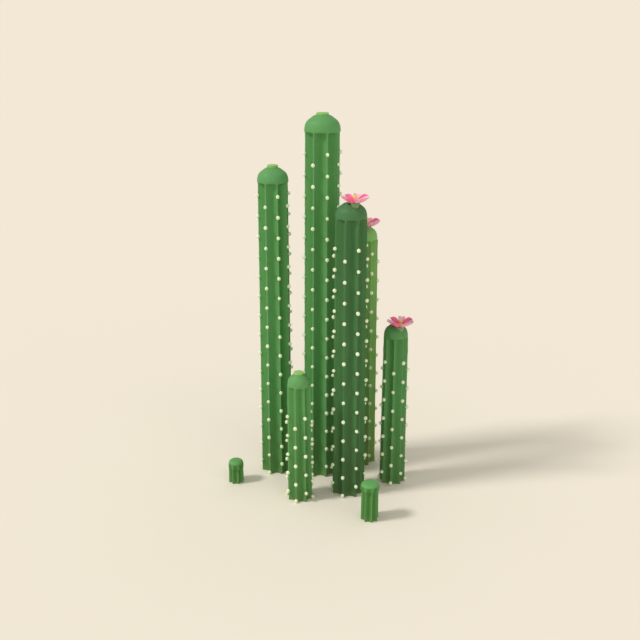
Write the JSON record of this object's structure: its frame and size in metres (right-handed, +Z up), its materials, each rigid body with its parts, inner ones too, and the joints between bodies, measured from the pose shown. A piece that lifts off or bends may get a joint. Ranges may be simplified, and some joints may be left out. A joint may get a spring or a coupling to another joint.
{
  "type": "clump-forming columnar cactus",
  "caption": "Clump of upright ribbed cactus columns with smooth domed tops, cream spine cushions on the ribs, pink flowers on some tops and two young shoots in front.",
  "frame": {"origin": "middle of the tallest stem's flat foot, at ground level", "axes": "+Z up along the stems, +X to the clump's right and -Y to its front"},
  "size_m": [2.1184, 1.6907, 4.2705],
  "materials": {
    "tall_stem": "waxy green cactus skin, satin",
    "left_stem": "waxy green cactus skin, satin",
    "front_stem": "waxy green cactus skin, satin",
    "back_stem": "waxy green cactus skin, satin",
    "right_stem": "waxy green cactus skin, satin",
    "short_stem": "waxy green cactus skin, satin",
    "left_shoot": "waxy green cactus skin, satin",
    "right_shoot": "waxy green cactus skin, satin",
    "tall_growth_tip": "soft light green bud scales",
    "left_growth_tip": "soft light green bud scales",
    "short_growth_tip": "soft light green bud scales",
    "front_flower_tube": "scaly pale green",
    "front_flower_petals": "silky pink",
    "front_flower_stamens": "powdery yellow",
    "back_flower_tube": "scaly pale green",
    "back_flower_petals": "silky pink",
    "back_flower_stamens": "powdery yellow",
    "right_flower_tube": "scaly pale green",
    "right_flower_petals": "silky pink",
    "right_flower_stamens": "powdery yellow"
  },
  "bodies": {
    "root": {"tall_stem": "tall_stem", "left_stem": "left_stem", "front_stem": "front_stem", "back_stem": "back_stem", "right_stem": "right_stem", "short_stem": "short_stem", "left_shoot": "left_shoot", "right_shoot": "right_shoot", "tall_growth_tip": "tall_growth_tip", "left_growth_tip": "left_growth_tip", "short_growth_tip": "short_growth_tip", "front_flower_tube": "front_flower_tube", "front_flower_petals": "front_flower_petals", "front_flower_stamens": "front_flower_stamens", "back_flower_tube": "back_flower_tube", "back_flower_petals": "back_flower_petals", "back_flower_stamens": "back_flower_stamens", "right_flower_tube": "right_flower_tube", "right_flower_petals": "right_flower_petals", "right_flower_stamens": "right_flower_stamens"}
  },
  "joints": []
}
